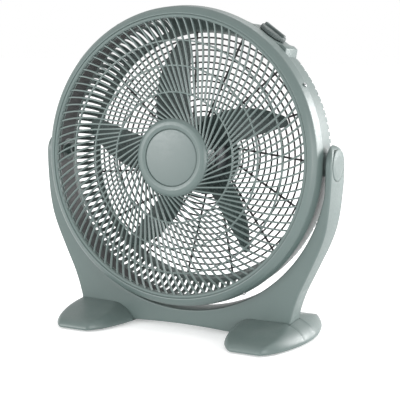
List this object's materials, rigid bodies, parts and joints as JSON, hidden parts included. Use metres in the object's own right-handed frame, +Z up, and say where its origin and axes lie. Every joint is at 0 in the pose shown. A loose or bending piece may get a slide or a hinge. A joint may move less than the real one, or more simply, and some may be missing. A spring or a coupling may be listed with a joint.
{
  "type": "fan",
  "caption": "Round drum floor fan in a U-shaped tilting stand on two domed feet, with a swept-rib front grille, rear grille, bladed impeller, motor and speed knob.",
  "frame": {"origin": "on the floor, below the middle of the tilt axis, which is also the centre of the bounding box's bottom", "axes": "+Z up, -Y is the front that the air leaves by, +X is the viewer's right when looking at the front"},
  "size_m": [0.4932, 0.224, 0.5022],
  "materials": {
    "shell": "moulded grey-green plastic, fine grain",
    "badge": "satin pale grey-green plastic",
    "knob": "moulded darker grey-green plastic",
    "blade": "semi-gloss grey-green plastic",
    "black": "black moulded plastic",
    "rubber": "matt rubber",
    "nylon": "natural nylon",
    "steel": "zinc-plated steel",
    "painted": "dark painted steel",
    "lamination": "stacked electrical steel",
    "copper": "enamelled copper wire",
    "bronze": "sintered bronze"
  },
  "bodies": {
    "stand": {"foot_left": "shell", "foot_pad_left_1": "rubber", "foot_pad_left_2": "rubber", "foot_pad_left_3": "rubber", "foot_pad_left_4": "rubber", "foot_pad_right_1": "rubber", "foot_pad_right_2": "rubber", "foot_pad_right_3": "rubber", "foot_pad_right_4": "rubber", "foot_right": "shell", "foot_screw_left_1": "steel", "foot_screw_left_2": "steel", "foot_screw_right_1": "steel", "foot_screw_right_2": "steel", "pivot_bush_left": "nylon", "pivot_bush_right": "nylon", "pivot_cap_left": "shell", "pivot_cap_right": "shell", "stand_yoke": "shell"},
    "drum": {"bezel_screw_1": "steel", "bezel_screw_2": "steel", "bezel_screw_3": "steel", "bezel_screw_4": "steel", "capacitor": "black", "cord_gland": "black", "cover_screw_1": "steel", "cover_screw_2": "steel", "front_bezel": "shell", "front_grille": "shell", "hub_badge": "badge", "motor_bearing_front": "bronze", "motor_bearing_rear": "bronze", "motor_bell_front": "painted", "motor_bell_rear": "painted", "motor_bolt_1": "steel", "motor_bolt_2": "steel", "motor_bolt_3": "steel", "motor_bolt_4": "steel", "motor_cover": "shell", "pivot_bolt_left": "steel", "pivot_bolt_right": "steel", "rear_housing": "shell", "speed_switch": "black", "stator_core": "lamination", "stator_winding_front": "copper", "stator_winding_rear": "copper"},
    "rotor": {"motor_shaft": "steel", "rotor_core": "lamination", "impeller": "blade", "impeller_nut": "black", "drive_pin": "steel"},
    "knob": {"speed_knob": "knob", "switch_spindle": "nylon"}
  },
  "joints": [
    {"name": "tilt", "type": "hinge", "parent": "stand", "child": "drum", "pos_m": [0, 0, 0.27], "axis": [-1, 0, 0], "range_deg": [-14, 86]},
    {"name": "fan_spin", "type": "hinge", "parent": "drum", "child": "rotor", "pos_m": [0, 0, 0.27], "axis": [0, -0.9976, 0.0698], "continuous": true},
    {"name": "knob_turn", "type": "hinge", "parent": "drum", "child": "knob", "pos_m": [0.13536, 0.01548, 0.46271], "axis": [-0.5736, -0.0571, -0.8172], "range_deg": [0, 135]}
  ]
}
